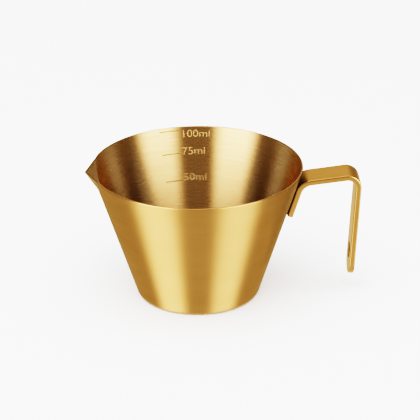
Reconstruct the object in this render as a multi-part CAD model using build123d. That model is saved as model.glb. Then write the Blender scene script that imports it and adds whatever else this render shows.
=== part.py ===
from build123d import *

import os
from math import acos, cos, pi, radians, sin, tan

# Spouted measuring cup with a bent strip handle, all stainless steel.
# Frame in millimetres: +Z up, origin at the centre of the flat base, on the cup's axis.
# -X points to the spout and +X to the handle.

# Cup
CUP_HEIGHT = 45.0
CUP_LENGTH = 72.0  # spout tip to the opposite side of the rim
RIM_RADIUS = 34.87
SIDE_ANGLE = radians(18.2)  # of the wall, from the vertical
WALL = 0.54
BASE_FILLET = 2.4  # outside, where the wall meets the base

# Spout: two flat facets that meet in a crease
TIP_DROP = 1.1  # of the spout's tip below the rim
SPOUT_DEPTH = 9.0  # from the rim down to where the crease runs into the wall
SPOUT_BACK = 1.7  # from the ends of the spout's lip into the cup, for a clean union
CREASE_RADIUS = 0.9  # outside
TIP_ROUNDING = 0.06  # what that radius takes off the tip

# Level marks, etched into the inside of the wall
LEVELS_ML = (50, 75, 100)
MARK_START = 98.5  # degrees around the axis from +X
MARK_ARC = 11.5
MARK_HEIGHT = 0.35
MARK_DEPTH = 0.05

# Handle: one strip with two bends, which has a tab, an arm and a leg
OVERALL_LENGTH = 91.0  # spout tip to the outermost point of the handle
STRIP_WIDTH = 10.0
STRIP_THICKNESS = 1.9
STRIP_EDGE_RADIUS = 0.45
TAB_END_HEIGHT = 27.9
TAB_CORNER_RADIUS = 1.0
ARM_HEIGHT = 40.6  # of the arm's top face, straight below the rim's edge
ARM_RISE = radians(6.7)  # from the horizontal
LEG_LEAN = radians(3.7)  # towards the cup, from the vertical
LEG_END_HEIGHT = 5.1
LEG_CORNER_RADIUS = 4.8  # nearly a full round end
TAB_BEND_RADIUS = 5.6  # convex side of the bend
LEG_BEND_RADIUS = 4.6  # convex side of the bend
HANG_HOLE_RADIUS = 2.7
HANG_HOLE_TO_LEG_END = 8.1

# Resistance welds that hold the tab to the wall
TAB_GAP = 0.06
NUGGET_RADIUS = 1.8
NUGGET_DEPTH = 1.0  # into the tab
NUGGETS_TO_TAB_END = {"weld_nugget_lower": 2.6, "weld_nugget_upper": 7.0}

TIP_REACH = CUP_LENGTH - RIM_RADIUS + TIP_ROUNDING
HANDLE_REACH = OVERALL_LENGTH - CUP_LENGTH + RIM_RADIUS
SLOPE = tan(SIDE_ANGLE)
TOOL_MARGIN = 5.0  # how far a cutting tool runs past what it cuts
TOLERANCE = 1e-3

# Directions in the handle's mid-plane, as (X, Z)
UP_THE_TAB = Vector(sin(SIDE_ANGLE), cos(SIDE_ANGLE))
OUT_OF_THE_WALL = Vector(cos(SIDE_ANGLE), -sin(SIDE_ANGLE))
ALONG_THE_ARM = Vector(cos(ARM_RISE), sin(ARM_RISE))
UNDER_THE_ARM = Vector(sin(ARM_RISE), -cos(ARM_RISE))
DOWN_THE_LEG = Vector(-sin(LEG_LEAN), -cos(LEG_LEAN))
OUT_OF_THE_LEG = Vector(cos(LEG_LEAN), -sin(LEG_LEAN))


def outer_radius(height):
    """Radius of the outside of the wall at a height."""
    return RIM_RADIUS - (CUP_HEIGHT - height) * SLOPE


def inner_radius(height):
    """Radius of the inside of the wall at a height."""
    return outer_radius(height) - WALL / cos(SIDE_ANGLE)


def level_height(millilitres):
    """Height of the surface of this much liquid, from the volume of a cone's slice."""
    floor_radius = inner_radius(WALL)
    surface_radius = (floor_radius**3 + 3 * SLOPE * 1000 * millilitres / pi) ** (1 / 3)
    return WALL + (surface_radius - floor_radius) / SLOPE


def cone_solid(radius_at, bottom, top, fillet_radius):
    """Upright slice of a cone with its lower edge rounded."""
    upright = (Align.CENTER, Align.CENTER, Align.MIN)
    cone = Cone(radius_at(bottom), radius_at(top), top - bottom, align=upright)
    cone = Pos(0, 0, bottom) * cone
    return fillet(cone.edges().filter_by(GeomType.CIRCLE).sort_by(Axis.Z)[0], fillet_radius)


def facet_corners(side):
    """Tip, lip end and root of the spout's facet on one side, on its outside."""
    lip_angle = acos(RIM_RADIUS / TIP_REACH)
    tip = Vector(-TIP_REACH, 0, CUP_HEIGHT - TIP_DROP)
    lip_end = Vector(-RIM_RADIUS * cos(lip_angle), side * RIM_RADIUS * sin(lip_angle), CUP_HEIGHT)
    root = Vector(-outer_radius(CUP_HEIGHT - SPOUT_DEPTH), 0, CUP_HEIGHT - SPOUT_DEPTH)
    return tip, lip_end, root


def spout_block(back, top):
    """Box around the spout, cut off at a back plane and at a height."""
    tip, lip_end, root = facet_corners(1)
    front = tip.X - TOOL_MARGIN
    bottom = root.Z - TOOL_MARGIN
    width = 2 * (lip_end.Y + TOOL_MARGIN)
    block = Box(back - front, width, top - bottom, align=(Align.MIN, Align.CENTER, Align.MIN))
    return Pos(front, 0, bottom) * block


def spout_wedge(inset, top, crease_radius):
    """Solid behind the two facets, which are set in from the outside by a distance."""
    lip_end = facet_corners(1)[1]
    wedge = spout_block(lip_end.X + SPOUT_BACK, top)
    for side in (1, -1):
        tip, lip_end, root = facet_corners(side)
        outward = (lip_end - tip).cross(root - tip) * side
        facet = Plane(origin=tip, x_dir=root - tip, z_dir=outward)
        wedge = split(wedge, facet.offset(-inset), Keep.BOTTOM)
    tip, _, root = facet_corners(1)
    crease = wedge.edges().filter_by(Axis(tip, root - tip))
    return fillet(crease, crease_radius)


def cut_above_lip():
    """Tool that trims the wall down to the plane in which the spout's lip falls to its tip."""
    tip, lip_end, _ = facet_corners(1)
    tool = spout_block(lip_end.X, CUP_HEIGHT + TOOL_MARGIN)
    lip_plane = Plane(origin=tip, x_dir=(0, 1, 0), z_dir=(tip.Z - lip_end.Z, 0, lip_end.X - tip.X))
    return split(tool, lip_plane, Keep.TOP)


def mark_cut(millilitres):
    """Tool that etches one level mark."""
    bottom = level_height(millilitres) - MARK_HEIGHT / 2
    groove = Cone(
        inner_radius(bottom) + MARK_DEPTH,
        inner_radius(bottom + MARK_HEIGHT) + MARK_DEPTH,
        MARK_HEIGHT,
        arc_size=MARK_ARC,
        align=(Align.NONE, Align.NONE, Align.MIN),
    )
    return Pos(0, 0, bottom) * Rot(0, 0, MARK_START) * groove


def cup_body():
    """Drawn cup: one sheet that makes the base, the wall and the pressed-out spout."""
    outside = cone_solid(outer_radius, 0, CUP_HEIGHT, BASE_FILLET)
    outside += spout_wedge(0, CUP_HEIGHT, CREASE_RADIUS)
    inside = cone_solid(inner_radius, WALL, CUP_HEIGHT + TOOL_MARGIN, BASE_FILLET - WALL)
    inside += spout_wedge(WALL, CUP_HEIGHT + TOOL_MARGIN, CREASE_RADIUS - WALL)
    cup = outside - inside - cut_above_lip()
    for millilitres in LEVELS_ML:
        cup -= mark_cut(millilitres)
    return cup


def meeting_point(start_a, along_a, start_b, along_b):
    """Point where two lines in the handle's mid-plane cross."""
    gap = start_b - start_a
    cross = along_a.X * along_b.Y - along_a.Y * along_b.X
    distance = (gap.X * along_b.Y - gap.Y * along_b.X) / cross
    return start_a + along_a * distance


def strip_face_lines(depth):
    """A point on each of the tab, arm and leg, at a depth from the strip's convex face."""
    tab = Vector(outer_radius(TAB_END_HEIGHT), TAB_END_HEIGHT) + OUT_OF_THE_WALL * (TAB_GAP + depth)
    arm = Vector(RIM_RADIUS, ARM_HEIGHT) + UNDER_THE_ARM * depth
    bend_line = Vector(RIM_RADIUS, ARM_HEIGHT) + UNDER_THE_ARM * LEG_BEND_RADIUS
    outermost = Vector(HANDLE_REACH - LEG_BEND_RADIUS, 0)
    bend_centre = meeting_point(bend_line, ALONG_THE_ARM, outermost, Vector(0, 1))
    leg = bend_centre + OUT_OF_THE_LEG * (LEG_BEND_RADIUS - depth)
    return tab, arm, leg


def strip_corners(depth):
    """Tab end, two bend corners and leg end, at a depth from the strip's convex face."""
    tab, arm, leg = strip_face_lines(depth)
    tab_corner = meeting_point(tab, UP_THE_TAB, arm, ALONG_THE_ARM)
    leg_corner = meeting_point(arm, ALONG_THE_ARM, leg, DOWN_THE_LEG)
    outer_leg = strip_face_lines(0)[2]
    leg_end = meeting_point(outer_leg, DOWN_THE_LEG, Vector(0, LEG_END_HEIGHT), Vector(1, 0))
    return [tab, tab_corner, leg_corner, leg_end - OUT_OF_THE_LEG * depth]


def in_space(point):
    """3-D place of a point of the handle's mid-plane."""
    return Vector(point.X, 0, point.Y)


def nugget_cylinder(to_tab_end, start, end):
    """Cylinder square to the tab, between two depths from the tab's face on the wall."""
    centre = in_space(strip_corners(0)[0] + UP_THE_TAB * to_tab_end)
    plane = Plane(origin=centre, z_dir=in_space(OUT_OF_THE_WALL)).offset(start)
    return plane * Cylinder(NUGGET_RADIUS, end - start, align=(Align.CENTER, Align.CENTER, Align.MIN))


def hang_hole_cut():
    """Tool for the hole near the end of the leg."""
    centre = strip_corners(0)[3] - DOWN_THE_LEG * HANG_HOLE_TO_LEG_END
    plane = Plane(origin=in_space(centre), z_dir=in_space(OUT_OF_THE_LEG))
    return plane * Cylinder(HANG_HOLE_RADIUS, 2 * (STRIP_THICKNESS + TOOL_MARGIN))


def is_length(length):
    """Test for edges of this length."""
    return lambda edge: abs(edge.length - length) < TOLERANCE


def handle_strap():
    """Bent strip with rounded ends and edges, a hole, and pockets for the weld nuggets."""
    outline = strip_corners(0) + strip_corners(STRIP_THICKNESS)[::-1]
    convex = [0, TAB_BEND_RADIUS, LEG_BEND_RADIUS, 0]
    concave = [0, LEG_BEND_RADIUS - STRIP_THICKNESS, TAB_BEND_RADIUS - STRIP_THICKNESS, 0]
    profile = make_face(Plane.XZ * FilletPolyline(*outline, radius=convex + concave, close=True))
    strip = extrude(profile, amount=STRIP_WIDTH / 2, both=True)

    leg_corners = strip.edges().filter_by(is_length(STRIP_THICKNESS)).group_by(Axis.Z)[0]
    strip = fillet(leg_corners, LEG_CORNER_RADIUS)
    tab_corners = strip.edges().filter_by(is_length(STRIP_THICKNESS)).group_by(Axis.Z)[-1]
    strip = fillet(tab_corners, TAB_CORNER_RADIUS)

    through_sheet = strip.edges().filter_by(is_length(STRIP_THICKNESS))
    bend_seams = strip.edges().filter_by(is_length(STRIP_WIDTH)).filter_by(Axis.Y)
    strip = fillet(strip.edges() - through_sheet - bend_seams, STRIP_EDGE_RADIUS)

    strip -= hang_hole_cut()
    for to_tab_end in NUGGETS_TO_TAB_END.values():
        strip -= nugget_cylinder(to_tab_end, -TOOL_MARGIN, NUGGET_DEPTH)
    return strip


def weld_nugget(to_tab_end):
    """Melted spot from inside the tab to the outside of the cup's wall."""
    wall = cone_solid(outer_radius, 0, CUP_HEIGHT, BASE_FILLET)
    return nugget_cylinder(to_tab_end, -TOOL_MARGIN, NUGGET_DEPTH) - wall


def main():
    os.makedirs("parts", exist_ok=True)
    parts = {"cup_body": cup_body(), "handle_strap": handle_strap()}
    for name, to_tab_end in NUGGETS_TO_TAB_END.items():
        parts[name] = weld_nugget(to_tab_end)
    for name, part in parts.items():
        export_step(part, f"parts/{name}.step")


main()
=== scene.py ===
from math import acos, atan, atan2, cos, hypot, pi, radians, sin, tan

import bmesh
import bpy
from mathutils import Matrix, Vector


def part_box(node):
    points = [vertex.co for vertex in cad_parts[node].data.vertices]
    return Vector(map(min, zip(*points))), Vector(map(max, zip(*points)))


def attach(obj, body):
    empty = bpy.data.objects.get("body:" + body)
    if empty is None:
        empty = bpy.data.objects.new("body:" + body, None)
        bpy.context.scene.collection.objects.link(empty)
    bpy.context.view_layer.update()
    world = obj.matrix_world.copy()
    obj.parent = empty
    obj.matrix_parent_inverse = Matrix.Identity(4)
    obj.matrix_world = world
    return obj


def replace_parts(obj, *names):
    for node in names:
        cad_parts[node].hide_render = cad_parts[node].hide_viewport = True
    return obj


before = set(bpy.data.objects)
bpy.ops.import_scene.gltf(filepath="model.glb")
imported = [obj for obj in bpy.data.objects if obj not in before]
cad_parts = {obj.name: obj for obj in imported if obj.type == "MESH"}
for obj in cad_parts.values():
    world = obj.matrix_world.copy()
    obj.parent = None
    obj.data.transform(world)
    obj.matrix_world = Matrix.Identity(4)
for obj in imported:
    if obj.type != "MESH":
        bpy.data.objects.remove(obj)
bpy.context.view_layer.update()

# Metres, in the frame's axes: +Z up, -X to the spout, +X to the handle, origin under the cup.
MM = 0.001
CUP_LOW, CUP_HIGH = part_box("cup_body")
STRAP_LOW, STRAP_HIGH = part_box("handle_strap")

# Cup
HEIGHT = CUP_HIGH.z
MIDDLE = Vector((0, 0, HEIGHT / 2))
RIM_RADIUS = CUP_HIGH.x
SIDE_ANGLE = radians(18.2)
SLOPE = tan(SIDE_ANGLE)
WALL = 0.54 * MM
BASE_FILLET = 2.4 * MM
LIP_EDGE_RADIUS = 0.2 * MM

# Spout
TIP_ROUNDING = 0.06 * MM
TIP_REACH = -CUP_LOW.x + TIP_ROUNDING
TIP_DROP = 1.1 * MM
SPOUT_DEPTH = 9.0 * MM
CREASE_BLEND = 4 * TIP_ROUNDING
FACET_BLEND = 0.22 * MM

# Level marks
LEVELS_ML = (50, 75, 100)
MARK_START = radians(98.5)
MARK_ARC = radians(11.5)
MARK_HEIGHT = 0.35 * MM
MARK_TEXT = 3.6 * MM
MARK_TEXT_LIFT = {50: 1.2 * MM, 75: 0.85 * MM, 100: -1.0 * MM}
MARK_PROUD, MARK_ROOT = 0.03 * MM, 0.05 * MM
TEXT_STRETCH, TEXT_SPACING, TEXT_THINNING = 1.14, 0.99, 0.015
TEXT_TURN = radians(1.0)
TEXT_MIDDLE = 0.36
TICK_STEPS = 8

# Handle strip
STRIP_WIDTH = STRAP_HIGH.y - STRAP_LOW.y
STRIP_THICKNESS = 1.9 * MM
STRIP_EDGE_RADIUS = 0.45 * MM
TAB_GAP = 0.06 * MM
TAB_END_HEIGHT = 27.9 * MM
TAB_CORNER_RADIUS = 1.0 * MM
ARM_HEIGHT = 40.6 * MM
ARM_RISE = radians(6.7)
LEG_LEAN = radians(3.7)
LEG_CORNER_RADIUS = 4.8 * MM
TAB_BEND_RADIUS = 5.6 * MM
LEG_BEND_RADIUS = 4.6 * MM
HANG_HOLE_RADIUS = 2.7 * MM
HANG_HOLE_TO_LEG_END = 8.1 * MM
HOLE_EDGE_RADIUS = 0.1 * MM
HOLE_PATCH = 3.1 * MM
TOLERANCE = 1e-7

# Finishes, and each piece's material slots
BRUSHED, POLISHED = 0, 1
OUTSIDE, INSIDE, LIP = 0, 1, 2
NUMERAL, TICK = 0, 1
RELIEF_RANGE = (0.3, 0.7)
COPPERY, YELLOWER = (0.86, 0.47, 0.18), (0.83, 0.43, 0.15)
EDGE_TINT = (1.0, 0.9, 0.65, 1.0)
BUMP_DEPTH = 0.02 * MM

# Camera
CAMERA_DISTANCE = 0.8
CAMERA_BEARING = -2.4
CAMERA_ELEVATION = 24.3
CAMERA_ROLL = -0.42
CAMERA_LENS = 206.5
TARGET_RIGHT, TARGET_UP = 4.07 * MM, 5.98 * MM

# Studio: each soft box is (bearing, half width, softness, highest sine of elevation, level), in
# degrees to the right of the camera
BOXES_ABOVE = (
    (46, 20, 10, 0.60, 6.0),
    (-45, 21, 10, 0.60, 7.2),
    (180, 12, 10, 0.60, 0.42),
    (0, 18, 12, -0.20, 0.6),
    (180, 25, 12, -0.20, 1.6),
)
BOXES_BELOW = (
    (-63, 7, 34, 2.0, 0.70),
    (57, 6, 30, 2.0, 0.36),
    (0, 40, 20, 2.0, 0.05),
    (180, 40, 20, 2.0, 0.3),
)
BOX_TOP_SOFTNESS = 0.08
GAP_ABOVE, GAP_BELOW = 0.20, 0.57
LEVEL_AT_TABLE = 0.25
OVERHEAD = 1.1
WARM = (1.0, 0.93, 0.8, 1)
SECOND_BOUNCE = (0.15, 0.31, 0.80, 1)
PALE = (1.6, 1.6, 1.6, 1)
FLOOR_GREY = (0.88, 0.88, 0.88, 1)
FLOOR_REACH = 3.0
TOP_BEARING, TOP_ELEVATION, TOP_DISTANCE = -20, 75, 1.2
TOP_SIZE, TOP_POWER = 1.2, 48


# ---------------------------------------------------------------- cup

def in_scene(name, data):
    """Object in the scene, made from a mesh, curve, camera or light."""
    piece = bpy.data.objects.new(name, data)
    bpy.context.scene.collection.objects.link(piece)
    return piece


def cone_radius(height, inset=0.0):
    """Radius of the conical wall at a height; inset 0 is the outside, WALL the inside."""
    return RIM_RADIUS - (HEIGHT - height) * SLOPE - inset / cos(SIDE_ANGLE)


def spout_facet():
    """Outward normal of the +Y facet of the spout, and the facet's distance from the origin."""
    lip_angle = acos(RIM_RADIUS / TIP_REACH)
    tip = Vector((-TIP_REACH, 0, HEIGHT - TIP_DROP))
    lip_end = Vector((-RIM_RADIUS * cos(lip_angle), RIM_RADIUS * sin(lip_angle), HEIGHT))
    root = Vector((-cone_radius(HEIGHT - SPOUT_DEPTH), 0, HEIGHT - SPOUT_DEPTH))
    normal = (lip_end - tip).cross(root - tip).normalized()
    return normal, normal.dot(tip), lip_end


FACET_NORMAL, FACET_DISTANCE, LIP_END = spout_facet()
SPOUT_HALF_ANGLE = pi - atan2(LIP_END.y, LIP_END.x)


def smooth_max(a, b, width):
    """The larger of two lengths, with the corner between them rounded over a width."""
    overlap = max(width - abs(a - b), 0.0) / width
    return max(a, b) + overlap * overlap * width / 4


def wall_radius(angle, height, inset):
    """Distance from the axis to the wall's surface, with the pressed-out spout."""
    cone = cone_radius(height, inset)
    off_spout = pi - abs(angle)
    if off_spout > 1.6 * SPOUT_HALF_ANGLE:
        return cone
    reach = FACET_DISTANCE - inset - FACET_NORMAL.z * height
    near = reach / (-FACET_NORMAL.x * cos(off_spout) + FACET_NORMAL.y * sin(off_spout))
    far = reach / (-FACET_NORMAL.x * cos(off_spout) - FACET_NORMAL.y * sin(off_spout))
    wedge = -smooth_max(-near, -far, CREASE_BLEND)
    fade = min(1.0, max(0.0, (1.6 * SPOUT_HALF_ANGLE - off_spout) / (0.4 * SPOUT_HALF_ANGLE)))
    return cone + fade * (smooth_max(cone, wedge, FACET_BLEND) - cone)


def lip_height(angle, inset):
    """Height of the lip, which falls in one plane from the spout's shoulders to its tip."""
    height = HEIGHT
    for _ in range(4):
        x = wall_radius(angle, height, inset) * cos(angle)
        height = HEIGHT - TIP_DROP * max(0.0, LIP_END.x - x) / (LIP_END.x + TIP_REACH)
    return height


def arc(centre, radius, start, end, steps):
    """Points (r, z) along an arc, both ends included."""
    angles = [start + (end - start) * i / steps for i in range(steps + 1)]
    return [(centre[0] + radius * cos(a), centre[1] + radius * sin(a)) for a in angles]


def base_corner(bottom, radius, inset, steps):
    """Rounded corner between base and wall, from the base up."""
    sine, cosine = sin(SIDE_ANGLE), cos(SIDE_ANGLE)
    centre = (cone_radius(bottom, inset) - radius * (1 - sine) / cosine, bottom + radius)
    return arc(centre, radius, -pi / 2, -SIDE_ANGLE, steps)


def lip_corners(angle):
    """Rounded lip from the outside over to the inside."""
    step = 0.2 * MM
    points = []
    for inset, sign in ((0.0, 1), (WALL, -1)):
        top = lip_height(angle, inset)
        radius = wall_radius(angle, top, inset)
        lean = atan((radius - wall_radius(angle, top - step, inset)) / step)
        inward = sign * LIP_EDGE_RADIUS * (1 + sign * sin(lean)) / cos(lean)
        centre = (radius - inward, top - LIP_EDGE_RADIUS)
        if sign > 0:
            points += arc(centre, LIP_EDGE_RADIUS, -lean, pi / 2, 5)
        else:
            points += arc(centre, LIP_EDGE_RADIUS, pi / 2, pi - lean, 5)
    return points


def wall_steps():
    """Fractions of the wall's height, closer together where the spout is."""
    below = [i / 22 for i in range(22)]
    spout = [i / 30 for i in range(31)]
    split = 0.74
    return [f * split for f in below] + [split + f * (1 - split) for f in spout]


def cup_profile(angle):
    """Closed section of the cup at an angle, from the base's centre round to the floor's centre."""
    outer_corner = base_corner(0.0, BASE_FILLET, 0.0, 8)
    inner_corner = base_corner(WALL, BASE_FILLET - WALL, WALL, 8)
    lip = lip_corners(angle)
    rings = [i / 10 for i in range(1, 10)]
    profile = [(outer_corner[0][0] * f, 0.0) for f in rings] + outer_corner
    for start, end, inset in ((outer_corner[-1], lip[0], 0.0), (inner_corner[-1], lip[-1], WALL)):
        heights = [start[1] + (end[1] - start[1]) * f for f in wall_steps()[1:-1]]
        wall = [(wall_radius(angle, z, inset), z) for z in heights]
        profile += wall + lip if inset == 0.0 else wall[::-1]
    return profile + inner_corner[::-1] + [(inner_corner[0][0] * f, WALL) for f in rings[::-1]]


def cup_angles():
    """Angles around the axis, close together across the spout and closest at its crease."""
    crease = [0.0, 0.002, 0.004, 0.0062, 0.0088, 0.012, 0.016, 0.021]
    spout_end = 1.25 * SPOUT_HALF_ANGLE
    spout = [crease[-1] + (spout_end - crease[-1]) * i / 48 for i in range(1, 49)]
    rest = [spout_end + (pi - spout_end) * i / 56 for i in range(1, 57)]
    off_spout = crease + spout + rest
    return [pi - a for a in off_spout] + [a - pi for a in off_spout[-2:0:-1]]


def mesh_object(name, vertices, faces):
    """Smooth-shaded object from vertices and faces, with its normals facing out."""
    mesh = bpy.data.meshes.new(name)
    mesh.from_pydata(vertices, [], faces)
    grid = bmesh.new()
    grid.from_mesh(mesh)
    bmesh.ops.recalc_face_normals(grid, faces=grid.faces)
    grid.to_mesh(mesh)
    grid.free()
    mesh.shade_smooth()
    return in_scene(name, mesh)


def make_cup():
    """The drawn cup as one closed mesh of quads, with a fan at each pole."""
    angles = cup_angles()
    profiles = [cup_profile(a) for a in angles]
    rows = len(profiles[0])
    vertices = [(r * cos(a), r * sin(a), z)
                for a, profile in zip(angles, profiles) for r, z in profile]
    faces = []
    for column in range(len(angles)):
        here = column * rows
        there = (column + 1) % len(angles) * rows
        faces += [(here + i, there + i, there + i + 1, here + i + 1) for i in range(rows - 1)]
    outside, inside = len(vertices), len(vertices) + 1
    vertices += [(0, 0, 0), (0, 0, WALL)]
    for column in range(len(angles)):
        here = column * rows
        there = (column + 1) % len(angles) * rows
        faces += [(outside, there, here), (inside, here + rows - 1, there + rows - 1)]
    return mesh_object("measuring_cup", vertices, faces)


def paint_cup(cup):
    """Give each face its finish: outside wall and base, inside wall and floor, or lip."""
    for face in cup.data.polygons:
        x, y, z = face.center
        angle = atan2(y, x)
        if z > lip_height(angle, WALL / 2) - 1.05 * LIP_EDGE_RADIUS:
            face.material_index = LIP
        elif hypot(x, y) < wall_radius(angle, z, WALL / 2) and z > WALL / 2:
            face.material_index = INSIDE
        else:
            face.material_index = OUTSIDE


# ---------------------------------------------------------------- handle strip

class Bend:
    """The strip's convex face in the mid-plane: straight runs joined by arcs, read by length."""

    def __init__(self, points, radii):
        self.parts = []
        start = points[0]
        for before, corner, after, radius in zip(points, points[1:], points[2:], radii):
            inward = (corner - before).normalized()
            outward = (after - corner).normalized()
            turn = inward.angle(outward)
            touch = radius * tan(turn / 2)
            self.parts.append(("run", start, inward, (corner - inward * touch - start).length))
            self.parts.append(("arc", corner - inward * touch, inward, radius * turn, radius))
            start = corner + outward * touch
        outward = (points[-1] - start).normalized()
        self.parts.append(("run", start, outward, (points[-1] - start).length))
        self.length = sum(part[3] for part in self.parts)

    def place(self, along, depth):
        """Point at a length along the convex face and a depth below it, as (x, z)."""
        for part in self.parts:
            if along <= part[3] or part is self.parts[-1]:
                break
            along -= part[3]
        start, direction = part[1], part[2]
        below = Vector((direction.y, -direction.x))
        if part[0] == "run":
            return start + direction * along + below * depth
        radius = part[4]
        centre = start + below * radius
        turned = along / radius
        spoke = -below * cos(turned) + direction * sin(turned)
        return centre + spoke * (radius - depth)


def meeting_point(start_a, along_a, start_b, along_b):
    """Point where two lines cross."""
    gap = start_b - start_a
    across = along_a.x * along_b.y - along_a.y * along_b.x
    return start_a + along_a * (gap.x * along_b.y - gap.y * along_b.x) / across


def strip_bend():
    """Tab up the wall, arm out over the gap, and leg down."""
    up_tab = Vector((sin(SIDE_ANGLE), cos(SIDE_ANGLE)))
    out_of_wall = Vector((cos(SIDE_ANGLE), -sin(SIDE_ANGLE)))
    along_arm = Vector((cos(ARM_RISE), sin(ARM_RISE)))
    under_arm = Vector((sin(ARM_RISE), -cos(ARM_RISE)))
    down_leg = Vector((-sin(LEG_LEAN), -cos(LEG_LEAN)))
    out_of_leg = Vector((cos(LEG_LEAN), -sin(LEG_LEAN)))
    tab_end = Vector((cone_radius(TAB_END_HEIGHT), TAB_END_HEIGHT)) + out_of_wall * TAB_GAP
    arm = Vector((RIM_RADIUS, ARM_HEIGHT))
    outermost = Vector((STRAP_HIGH.x - LEG_BEND_RADIUS, 0))
    inner_arm = arm + under_arm * LEG_BEND_RADIUS
    bend_centre = meeting_point(inner_arm, along_arm, outermost, Vector((0, 1)))
    leg = bend_centre + out_of_leg * LEG_BEND_RADIUS
    tab_corner = meeting_point(tab_end, up_tab, arm, along_arm)
    leg_corner = meeting_point(arm, along_arm, leg, down_leg)
    leg_end = meeting_point(leg, down_leg, Vector((0, STRAP_LOW.z)), Vector((1, 0)))
    return Bend([tab_end, tab_corner, leg_corner, leg_end], [TAB_BEND_RADIUS, LEG_BEND_RADIUS])


def plan_point(length, along, across):
    """Place on the flat strip of a point of a square-cornered grid, and the way out from its edge.

    The grid covers the flat part of a face and curves into the rounded corners."""
    side = -1 if across < 0 else 1
    for end, inward, corner in ((0.0, 1, TAB_CORNER_RADIUS), (length, -1, LEG_CORNER_RADIUS)):
        centre = Vector((end + inward * corner, side * (STRIP_WIDTH / 2 - corner)))
        radius = corner - STRIP_EDGE_RADIUS
        u = (centre.x - along) * inward / radius
        v = (abs(across) - abs(centre.y)) / radius
        if u > 0 and v > 0:
            way = Vector((-inward * u * (1 - v * v / 2) ** 0.5, side * v * (1 - u * u / 2) ** 0.5))
            return centre + way * radius, way.normalized()
    if abs(across) > STRIP_WIDTH / 2 - STRIP_EDGE_RADIUS - TOLERANCE:
        return Vector((along, across)), Vector((0, side))
    return Vector((along, across)), Vector((-1 if along < length / 2 else 1, 0))


def steps(start, end, count):
    """Even steps after a start, up to an end."""
    return [start + (end - start) * i / count for i in range(1, count + 1)]


def strip_rows(bend, hole):
    """Lengths along the strip of its grid's rows, and the first and last row round the hole."""
    rows = [STRIP_EDGE_RADIUS] + steps(STRIP_EDGE_RADIUS, TAB_CORNER_RADIUS, 3)
    place = 0.0
    for part in bend.parts[:-1]:
        place += part[3]
        rows += steps(rows[-1], place, 16 if part[0] == "arc" else 5)
    rows += steps(rows[-1], hole - HOLE_PATCH, 8)
    first = len(rows) - 1
    rows += steps(rows[-1], hole + HOLE_PATCH, 12)
    last = len(rows) - 1
    rows += steps(rows[-1], bend.length - LEG_CORNER_RADIUS, 1)
    rows += steps(rows[-1], bend.length - STRIP_EDGE_RADIUS, 9)
    return rows, first, last


def strip_columns():
    """Distances across the strip at which its grid has a column."""
    flat = STRIP_WIDTH / 2 - STRIP_EDGE_RADIUS
    half = [STRIP_WIDTH / 2 - LEG_CORNER_RADIUS]
    half += steps(half[-1], HOLE_PATCH, 5)
    half += steps(HOLE_PATCH, STRIP_WIDTH / 2 - TAB_CORNER_RADIUS, 1)
    half += steps(half[-1], flat, 3)
    return [-c for c in half[::-1]] + [0.0] + half


def rounded_section(thickness, radius, count):
    """Inset and depth of each ring round an edge, from one face to the other."""
    angles = [i * pi / 2 / count for i in range(count + 1)]
    top = [(radius * (1 - sin(a)), radius * (1 - cos(a))) for a in angles]
    return top + [(inset, thickness - depth) for inset, depth in top[::-1]]


class StripGrid:
    """Square-cornered grid that both faces of the strip follow, with a window round the hole."""

    def __init__(self, bend):
        self.length = bend.length
        self.middle = Vector((bend.length - HANG_HOLE_TO_LEG_END, 0))
        self.rows, self.first, self.last = strip_rows(bend, self.middle.x)
        self.columns = strip_columns()
        self.left, self.right = self.column_at(-HOLE_PATCH), self.column_at(HOLE_PATCH)
        self.rim = self.around(0, len(self.rows) - 1, 0, len(self.columns) - 1)
        self.window = self.around(self.first, self.last, self.left, self.right)

    def column_at(self, across):
        return next(j for j, c in enumerate(self.columns) if abs(c - across) < TOLERANCE)

    def around(self, top, bottom, low, high):
        """Row and column of each grid point round a rectangle of the grid."""
        path = [(top, j) for j in range(low, high)] + [(i, high) for i in range(top, bottom)]
        path += [(bottom, j) for j in range(high, low, -1)]
        return path + [(i, low) for i in range(bottom, top, -1)]

    def plan(self, place):
        return plan_point(self.length, self.rows[place[0]], self.columns[place[1]])

    def spokes(self):
        """From the hole's middle to each point round the window."""
        return [self.plan(place)[0] - self.middle for place in self.window]

    def ring_to_hole(self, share):
        """Ring this share of the way from the window to the hole's rim."""
        rim = HANG_HOLE_RADIUS + HOLE_EDGE_RADIUS
        return [self.middle + spoke.normalized() * (spoke.length + (rim - spoke.length) * share)
                for spoke in self.spokes()]

    def rim_points(self, inset):
        """Ring round the strip, this far in from its side."""
        ends = [self.plan(place) for place in self.rim]
        return [edge + way * (STRIP_EDGE_RADIUS - inset) for edge, way in ends]

    def hole_points(self, inset):
        """Ring round the hole, this far out from its side."""
        ways = [spoke.normalized() for spoke in self.spokes()]
        return [self.middle + way * (HANG_HOLE_RADIUS + inset) for way in ways]


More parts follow.
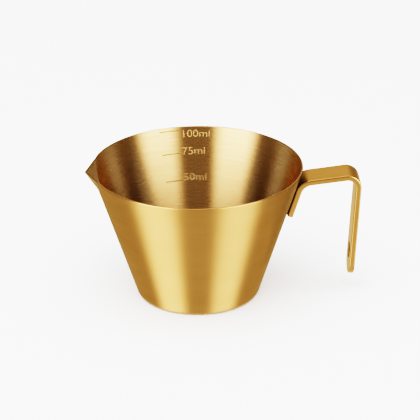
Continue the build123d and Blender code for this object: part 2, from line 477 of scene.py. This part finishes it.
class Shell:
    """Vertices and faces of the bent strip, from points on its flat plan, and their finishes."""

    def __init__(self, bend):
        self.bend = bend
        self.vertices, self.faces, self.finishes = [], [], []

    def point(self, plan, depth):
        x, z = self.bend.place(plan.x, depth)
        self.vertices.append((x, plan.y, z))
        return len(self.vertices) - 1

    def ring(self, plans, depth):
        return [self.point(plan, depth) for plan in plans]

    def face(self, corners, finish):
        self.faces.append(corners)
        self.finishes.append(finish)

    def band(self, upper, lower, finish):
        """Faces between two rings with the same number of points."""
        count = len(upper)
        for i in range(count):
            j = (i + 1) % count
            self.face((upper[i], upper[j], lower[j], lower[i]), finish)

    def grid_face(self, grid, depth):
        """One face of the strip up to its hole; returns its rings round the rim and the hole."""
        rows, columns = range(len(grid.rows)), range(len(grid.columns))
        points = {}
        for i in rows:
            for j in columns:
                if not (grid.first < i < grid.last and grid.left < j < grid.right):
                    points[i, j] = self.point(grid.plan((i, j))[0], depth)
        for i in rows[:-1]:
            for j in columns[:-1]:
                if not (grid.first <= i < grid.last and grid.left <= j < grid.right):
                    corners = (i, j), (i + 1, j), (i + 1, j + 1), (i, j + 1)
                    self.face([points[corner] for corner in corners], BRUSHED)
        window = [points[place] for place in grid.window]
        return [points[place] for place in grid.rim], self.hole_rings(grid, window, depth)

    def hole_rings(self, grid, ring, depth):
        """Rings from the square window in to the round hole's rim; returns the last."""
        for share in (0.3, 0.6, 0.85, 1.0):
            inner = self.ring(grid.ring_to_hole(share), depth)
            self.band(ring, inner, BRUSHED)
            ring = inner
        return ring

    def rounded_edge(self, upper, lower, radius, count, plans):
        """Edge from one face's ring to the other's; plans(inset) gives a ring on the plan."""
        for inset, depth in rounded_section(STRIP_THICKNESS, radius, count)[1:-1]:
            ring = self.ring(plans(inset), depth)
            self.band(upper, ring, POLISHED)
            upper = ring
        self.band(upper, lower, POLISHED)


def make_strip():
    """The bent strip as one closed mesh, with rounded edges and the hanging hole."""
    bend = strip_bend()
    grid, shell = StripGrid(bend), Shell(bend)
    rim_above, hole_above = shell.grid_face(grid, 0.0)
    rim_below, hole_below = shell.grid_face(grid, STRIP_THICKNESS)
    shell.rounded_edge(rim_above, rim_below, STRIP_EDGE_RADIUS, 5, grid.rim_points)
    shell.rounded_edge(hole_above, hole_below, HOLE_EDGE_RADIUS, 3, grid.hole_points)
    strip = mesh_object("handle_strip", shell.vertices, shell.faces)
    strip.data.polygons.foreach_set("material_index", shell.finishes)
    return strip


# ---------------------------------------------------------------- marks

def level_height(millilitres):
    """Height of the liquid's surface inside the cup at a volume."""
    floor = cone_radius(WALL, WALL)
    surface = (floor ** 3 + 3 * SLOPE * millilitres * 1e-6 / pi) ** (1 / 3)
    return WALL + (surface - floor) / SLOPE


def flat_text(words, size):
    """Triangles of a line of lettering, flat."""
    curve = bpy.data.curves.new("words", "FONT")
    curve.body, curve.size, curve.resolution_u = words, size, 3
    curve.space_character = TEXT_SPACING
    curve.offset = -TEXT_THINNING * size
    text = in_scene("words", curve)
    bpy.context.view_layer.update()
    seen = text.evaluated_get(bpy.context.evaluated_depsgraph_get())
    mesh = bpy.data.meshes.new_from_object(seen)
    bpy.data.objects.remove(text)
    mesh.transform(Matrix.Diagonal((TEXT_STRETCH, 1, 1, 1)))
    return mesh


def solid_from_flat(mesh, place):
    """Closed solid from a flat triangulated mesh: place() puts a flat point at a depth in space."""
    grid = bmesh.new()
    grid.from_mesh(mesh)
    bmesh.ops.remove_doubles(grid, verts=grid.verts, dist=1e-6)
    bmesh.ops.dissolve_degenerate(grid, edges=grid.edges, dist=1e-7)
    grid.verts.index_update()
    flat = [v.co.copy() for v in grid.verts]
    tris = [[v.index for v in f.verts] for f in grid.faces]
    rims = [(e.verts[0].index, e.verts[1].index) for e in grid.edges if len(e.link_faces) == 1]
    grid.free()
    count = len(flat)
    vertices = [place(v.x, v.y, 0) for v in flat] + [place(v.x, v.y, 1) for v in flat]
    faces = tris + [[i + count for i in t[::-1]] for t in tris]
    faces += [(a, b, b + count, a + count) for a, b in rims]
    return vertices, faces


def on_wall(angle, height):
    """Function that lays a flat shape on the inside wall, with its origin at this place."""
    def place(x, y, face):
        z = height + y * cos(SIDE_ANGLE)
        radius = cone_radius(z, WALL) + (-MARK_PROUD, MARK_ROOT)[face]
        turn = angle - x / cone_radius(height, WALL)
        return radius * cos(turn), radius * sin(turn), z
    return place


def flat_tick(height):
    """Short line to the left of a numeral, in steps so that it can follow the wall."""
    mesh = bpy.data.meshes.new("tick")
    width, half = MARK_ARC * cone_radius(height, WALL), MARK_HEIGHT / 2
    points = [(-width * i / TICK_STEPS, y, 0) for i in range(TICK_STEPS + 1) for y in (-half, half)]
    faces = [(2 * i, 2 * i + 1, 2 * i + 3, 2 * i + 2) for i in range(TICK_STEPS)]
    mesh.from_pydata(points, [], faces)
    return mesh


def make_marks():
    """Ticks and numerals, etched on the inside of the wall."""
    shapes = []
    for millilitres in LEVELS_ML:
        height = level_height(millilitres)
        baseline = height + MARK_TEXT_LIFT[millilitres] - TEXT_MIDDLE * MARK_TEXT
        words = flat_text("%dml" % millilitres, MARK_TEXT)
        shapes.append((words, on_wall(MARK_START - TEXT_TURN, baseline), NUMERAL))
        shapes.append((flat_tick(height), on_wall(MARK_START, height), TICK))
    vertices, faces, finishes = [], [], []
    for flat, place, finish_index in shapes:
        more, more_faces = solid_from_flat(flat, place)
        faces += [[i + len(vertices) for i in face] for face in more_faces]
        vertices += more
        finishes += [finish_index] * len(more_faces)
    marks = mesh_object("level_marks", vertices, faces)
    marks.data.shade_flat()
    marks.data.polygons.foreach_set("material_index", finishes)
    return marks


# ---------------------------------------------------------------- materials

class Nodes:
    """Short names for adding shader nodes to a material's or the world's tree."""

    def __init__(self, owner):
        owner.use_nodes = True
        self.tree = owner.node_tree

    def shader(self):
        return self.tree.nodes["Principled BSDF"].inputs

    def add(self, kind, inputs=(), **settings):
        """Add a node; inputs maps a socket's name or number to a value or to another socket."""
        node = self.tree.nodes.new("ShaderNode" + kind)
        for key, value in settings.items():
            setattr(node, key, value)
        for key, value in dict(inputs).items():
            self.give(node.inputs[key], value)
        return node

    def give(self, socket, value):
        if isinstance(value, bpy.types.NodeSocket):
            self.tree.links.new(value, socket)
        else:
            socket.default_value = value

    def math(self, operation, *values):
        return self.add("Math", dict(enumerate(values)), operation=operation).outputs[0]

    def range(self, value, low, high, to_low, to_high, interpolation="LINEAR"):
        limits = {"From Min": low, "From Max": high, "To Min": to_low, "To Max": to_high}
        node = self.add("MapRange", {"Value": value, **limits}, interpolation_type=interpolation)
        return node.outputs["Result"]

    def noise(self, vector, scale, detail=2.0, roughness=0.5):
        look = {"Scale": scale, "Detail": detail, "Roughness": roughness}
        return self.add("TexNoise", {"Vector": vector, **look}).outputs["Fac"]

    def mix(self, factor, a, b):
        return self.add("Mix", {0: factor, 6: a, 7: b}, data_type="RGBA").outputs[2]

    def position(self):
        return self.add("TexCoord").outputs["Object"]

    def scaled(self, vector, factors):
        node = self.add("VectorMath", {0: vector, 1: factors}, operation="MULTIPLY")
        return node.outputs[0]


def coat(nodes, colours, tone, relief, roughness, bump):
    """Give the shader two tones, a range of roughness and fine relief, from two noises."""
    shader = nodes.shader()
    (rough_low, rough_high), (low, high) = roughness, RELIEF_RANGE
    nodes.give(shader["Base Color"], nodes.mix(tone, *[(*colour, 1) for colour in colours]))
    nodes.give(shader["Roughness"], nodes.range(relief, low, high, rough_low, rough_high))
    lift = nodes.add("Bump", {"Height": relief, "Strength": bump, "Distance": BUMP_DEPTH})
    nodes.give(shader["Normal"], lift.outputs[0])


def brushed_gold(name, streaks, roughness, colours, anisotropy, bump, axis, rotation=0.0):
    """Brushed gold-coloured coating; streaks is a function that gives the brushing's noises."""
    material = bpy.data.materials.new(name)
    nodes = Nodes(material)
    fine, coarse, patches = streaks(nodes)
    tone = nodes.range(patches, 0.3, 0.7, 0.0, 1.0)
    share = nodes.math("MULTIPLY", fine, 0.65), nodes.math("MULTIPLY", coarse, 0.35)
    coat(nodes, colours, tone, nodes.math("ADD", *share), roughness, bump)
    shader = nodes.shader()
    shader["Metallic"].default_value = 1.0
    shader["Specular Tint"].default_value = EDGE_TINT
    shader["Anisotropic"].default_value = anisotropy
    shader["Anisotropic Rotation"].default_value = rotation
    way = nodes.add("Tangent", direction_type="RADIAL", axis=axis)
    nodes.give(shader["Tangent"], way.outputs[0])
    return material


def plain_gold(name, roughness, colours, grain, metallic=1.0):
    """Gold-coloured coating without brushing, with fine marks; grain is their scale."""
    material = bpy.data.materials.new(name)
    nodes = Nodes(material)
    place = nodes.position()
    marks = nodes.noise(place, grain, 3.0, 0.6)
    patches = nodes.noise(place, grain * 0.2, 2.0)
    tone = nodes.range(patches, 0.35, 0.65, 0.0, 1.0)
    coat(nodes, colours, tone, marks, roughness, 0.1)
    nodes.shader()["Metallic"].default_value = metallic
    return material


def turned_streaks(nodes):
    """Brushing round the axis: noise that changes fast up the wall or across the base."""
    place = nodes.position()
    x, y, z = nodes.add("SeparateXYZ", {0: place}).outputs
    flat = nodes.add("VectorMath", {0: nodes.scaled(place, (1, 1, 0))}, operation="LENGTH")
    across = nodes.math("ADD", z, flat.outputs["Value"])
    turned = nodes.add("CombineXYZ", {0: x, 1: y, 2: across}).outputs[0]
    fine = nodes.noise(nodes.scaled(turned, (110, 110, 2600)), 1.0, 3.0, 0.6)
    coarse = nodes.noise(nodes.scaled(turned, (60, 60, 1000)), 1.0)
    patches = nodes.noise(nodes.scaled(turned, (60, 60, 90)), 1.0)
    return fine, coarse, patches


def strip_streaks(nodes):
    """Brushing along the strip: noise that changes fast across it."""
    place = nodes.position()
    fine = nodes.noise(nodes.scaled(place, (60, 3000, 60)), 1.0, 3.0, 0.6)
    coarse = nodes.noise(nodes.scaled(place, (60, 900, 60)), 1.0)
    patches = nodes.noise(nodes.scaled(place, (90, 90, 90)), 1.0)
    return fine, coarse, patches


def wall_outside():
    colours = (0.81, 0.44, 0.16), (0.84, 0.47, 0.18)
    return brushed_gold("wall_outside", turned_streaks, (0.34, 0.46), colours, 1.0, 0.2, "Z", 0.25)


# Same gold coat as the outside, brushed smoother. Its base is a touch paler than the outside's,
# painted to offset the orange of light bounced round the inside.
def wall_inside():
    colours = (0.80, 0.46, 0.20), (0.85, 0.49, 0.22)
    return brushed_gold("wall_inside", turned_streaks, (0.25, 0.33), colours, 1.0, 0.2, "Z", 0.25)


def lip_polished():
    return plain_gold("lip_polished", (0.10, 0.20), (COPPERY, YELLOWER), 400)


def strip_face():
    colours = (0.83, 0.42, 0.14), (0.86, 0.45, 0.16)
    return brushed_gold("strip_face", strip_streaks, (0.25, 0.35), colours, 0.4, 0.3, "Y")


def strip_edge():
    return plain_gold("strip_edge", (0.11, 0.21), (COPPERY, YELLOWER), 400)


def etched():
    """The numerals: paler and rougher than the wall."""
    colours = (0.80, 0.52, 0.24), (0.74, 0.46, 0.20)
    return plain_gold("etched", (0.62, 0.78), colours, 900, metallic=0.84)


def scored():
    """The ticks: darker than the wall."""
    colours = (0.42, 0.25, 0.09), (0.30, 0.17, 0.06)
    return plain_gold("scored", (0.50, 0.70), colours, 900, metallic=0.9)


def weld_bead():
    """Heat-tinted weld metal, with a coarse skin."""
    colours = (0.72, 0.40, 0.16), (0.50, 0.30, 0.15)
    return plain_gold("weld_bead", (0.22, 0.46), colours, 1500)


# ---------------------------------------------------------------- stage

def direction(bearing, elevation):
    """Unit vector from the cup, by a bearing to the right of the front and an elevation."""
    a, e = radians(bearing), radians(elevation)
    return Vector((sin(a) * cos(e), -cos(a) * cos(e), sin(e)))


def make_camera():
    """Camera at the photograph's viewing angle, with a long lens."""
    roll = radians(CAMERA_ROLL)
    back = direction(CAMERA_BEARING, CAMERA_ELEVATION)
    right = direction(CAMERA_BEARING + 90, 0)
    up = back.cross(right)
    place = MIDDLE + right * TARGET_RIGHT + up * TARGET_UP + back * CAMERA_DISTANCE
    data = bpy.data.cameras.new("camera")
    data.lens, data.sensor_width = CAMERA_LENS, 36
    data.clip_start, data.clip_end = 0.05, 20
    camera = in_scene("camera", data)
    right, up = right * cos(roll) + up * sin(roll), up * cos(roll) - right * sin(roll)
    turn = Matrix((right, up, back)).transposed().to_4x4()
    camera.matrix_world = Matrix.Translation(place) @ turn
    bpy.context.scene.camera = camera


def make_floor():
    """Plain pale floor. Metal reflects the studio instead of it, as on a lit white sweep."""
    signs = (-1, -1), (1, -1), (1, 1), (-1, 1)
    corners = [(x * FLOOR_REACH, y * FLOOR_REACH, 0) for x, y in signs]
    mesh = bpy.data.meshes.new("floor")
    mesh.from_pydata(corners, [], [(0, 1, 2, 3)])
    material = bpy.data.materials.new("floor")
    Nodes(material).shader()["Base Color"].default_value = FLOOR_GREY
    mesh.materials.append(material)
    floor = in_scene("floor", mesh)
    floor.visible_glossy = False


def make_top_light():
    """Square soft box high over the cup, for the floor only: metal doesn't reflect it."""
    data = bpy.data.lights.new("top", "AREA")
    data.shape, data.size, data.energy = "SQUARE", TOP_SIZE, TOP_POWER
    light = in_scene("top", data)
    way = direction(TOP_BEARING, TOP_ELEVATION)
    turn = way.to_track_quat("Z", "Y").to_matrix().to_4x4()
    light.matrix_world = Matrix.Translation(MIDDLE + way * TOP_DISTANCE) @ turn
    light.visible_glossy = False


def box_pattern(nodes, bearing, rise, boxes):
    """Brightness of a ring of soft boxes, by bearing and by the sine of the elevation."""
    glow = 0.0
    for centre, half, soft, top, level in boxes:
        turned = nodes.math("FLOORED_MODULO", nodes.math("ADD", bearing, 540.0 - centre), 360.0)
        off = nodes.math("ABSOLUTE", nodes.math("SUBTRACT", turned, 180.0))
        across = nodes.range(off, half - soft, half + soft, level, 0.0, "SMOOTHSTEP")
        upright = nodes.range(rise, top - BOX_TOP_SOFTNESS, top + BOX_TOP_SOFTNESS, 1.0, 0.0)
        glow = nodes.math("MULTIPLY_ADD", across, upright, glow)
    return glow


def studio_glow(nodes):
    """Light from each direction: one ring of boxes above, one below, soft gaps and overhead."""
    x, y, rise = nodes.add("SeparateXYZ", {0: nodes.add("TexCoord").outputs["Generated"]}).outputs
    bearing = nodes.math("ARCTAN2", x, nodes.math("MULTIPLY", y, -1.0))
    bearing = nodes.math("MULTIPLY_ADD", bearing, 180 / pi, -CAMERA_BEARING)
    above = box_pattern(nodes, bearing, rise, BOXES_ABOVE)
    above = nodes.math("MULTIPLY", above, nodes.range(rise, -0.25, -0.02, LEVEL_AT_TABLE, 1.0))
    below = box_pattern(nodes, bearing, rise, BOXES_BELOW)
    high = nodes.range(rise, -0.70, -0.42, 0.0, 1.0)
    boxes = nodes.math("MULTIPLY_ADD", high, nodes.math("SUBTRACT", above, below), below)
    gaps = nodes.range(rise, -0.6, -0.05, GAP_BELOW, GAP_ABOVE)
    overhead = nodes.range(rise, 0.78, 0.95, 0.0, OVERHEAD)
    return nodes.math("ADD", nodes.math("ADD", boxes, gaps), overhead)


def make_world():
    """Pale all round for the floor, and for the metal a studio of soft boxes and dark gaps.

    What the metal sees by a second reflection is tinted, so the inside doesn't turn orange."""
    world = bpy.data.worlds.new("studio")
    nodes = Nodes(world)
    path = nodes.add("LightPath").outputs
    again = nodes.math("GREATER_THAN", path["Glossy Depth"], 1.5)
    tint = nodes.mix(again, WARM, SECOND_BOUNCE)
    studio = nodes.add("VectorMath", {0: studio_glow(nodes), 1: tint}, operation="MULTIPLY")
    colour = nodes.mix(path["Is Glossy Ray"], PALE, studio.outputs[0])
    nodes.give(nodes.tree.nodes["Background"].inputs["Color"], colour)
    bpy.context.scene.world = world


# ---------------------------------------------------------------- the whole

def finish(piece, materials):
    for material in materials:
        piece.data.materials.append(material)


def make_pieces():
    """Every visible piece, with its finishes and the body that it rides on."""
    cup = make_cup()
    finish(cup, (wall_outside(), wall_inside(), lip_polished()))
    paint_cup(cup)
    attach(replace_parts(cup, "cup_body"), "root")

    marks = make_marks()
    finish(marks, (etched(), scored()))
    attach(marks, "root")

    strip = make_strip()
    finish(strip, (strip_face(), strip_edge()))
    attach(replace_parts(strip, "handle_strap"), "root")

    weld = weld_bead()
    for name in ("weld_nugget_lower", "weld_nugget_upper"):
        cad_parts[name].material_slots[0].material = weld


def make_stage():
    make_floor()
    make_camera()
    make_world()
    make_top_light()
    view = bpy.context.scene.view_settings
    view.view_transform, view.look = "Filmic", "Very High Contrast"


make_pieces()
make_stage()
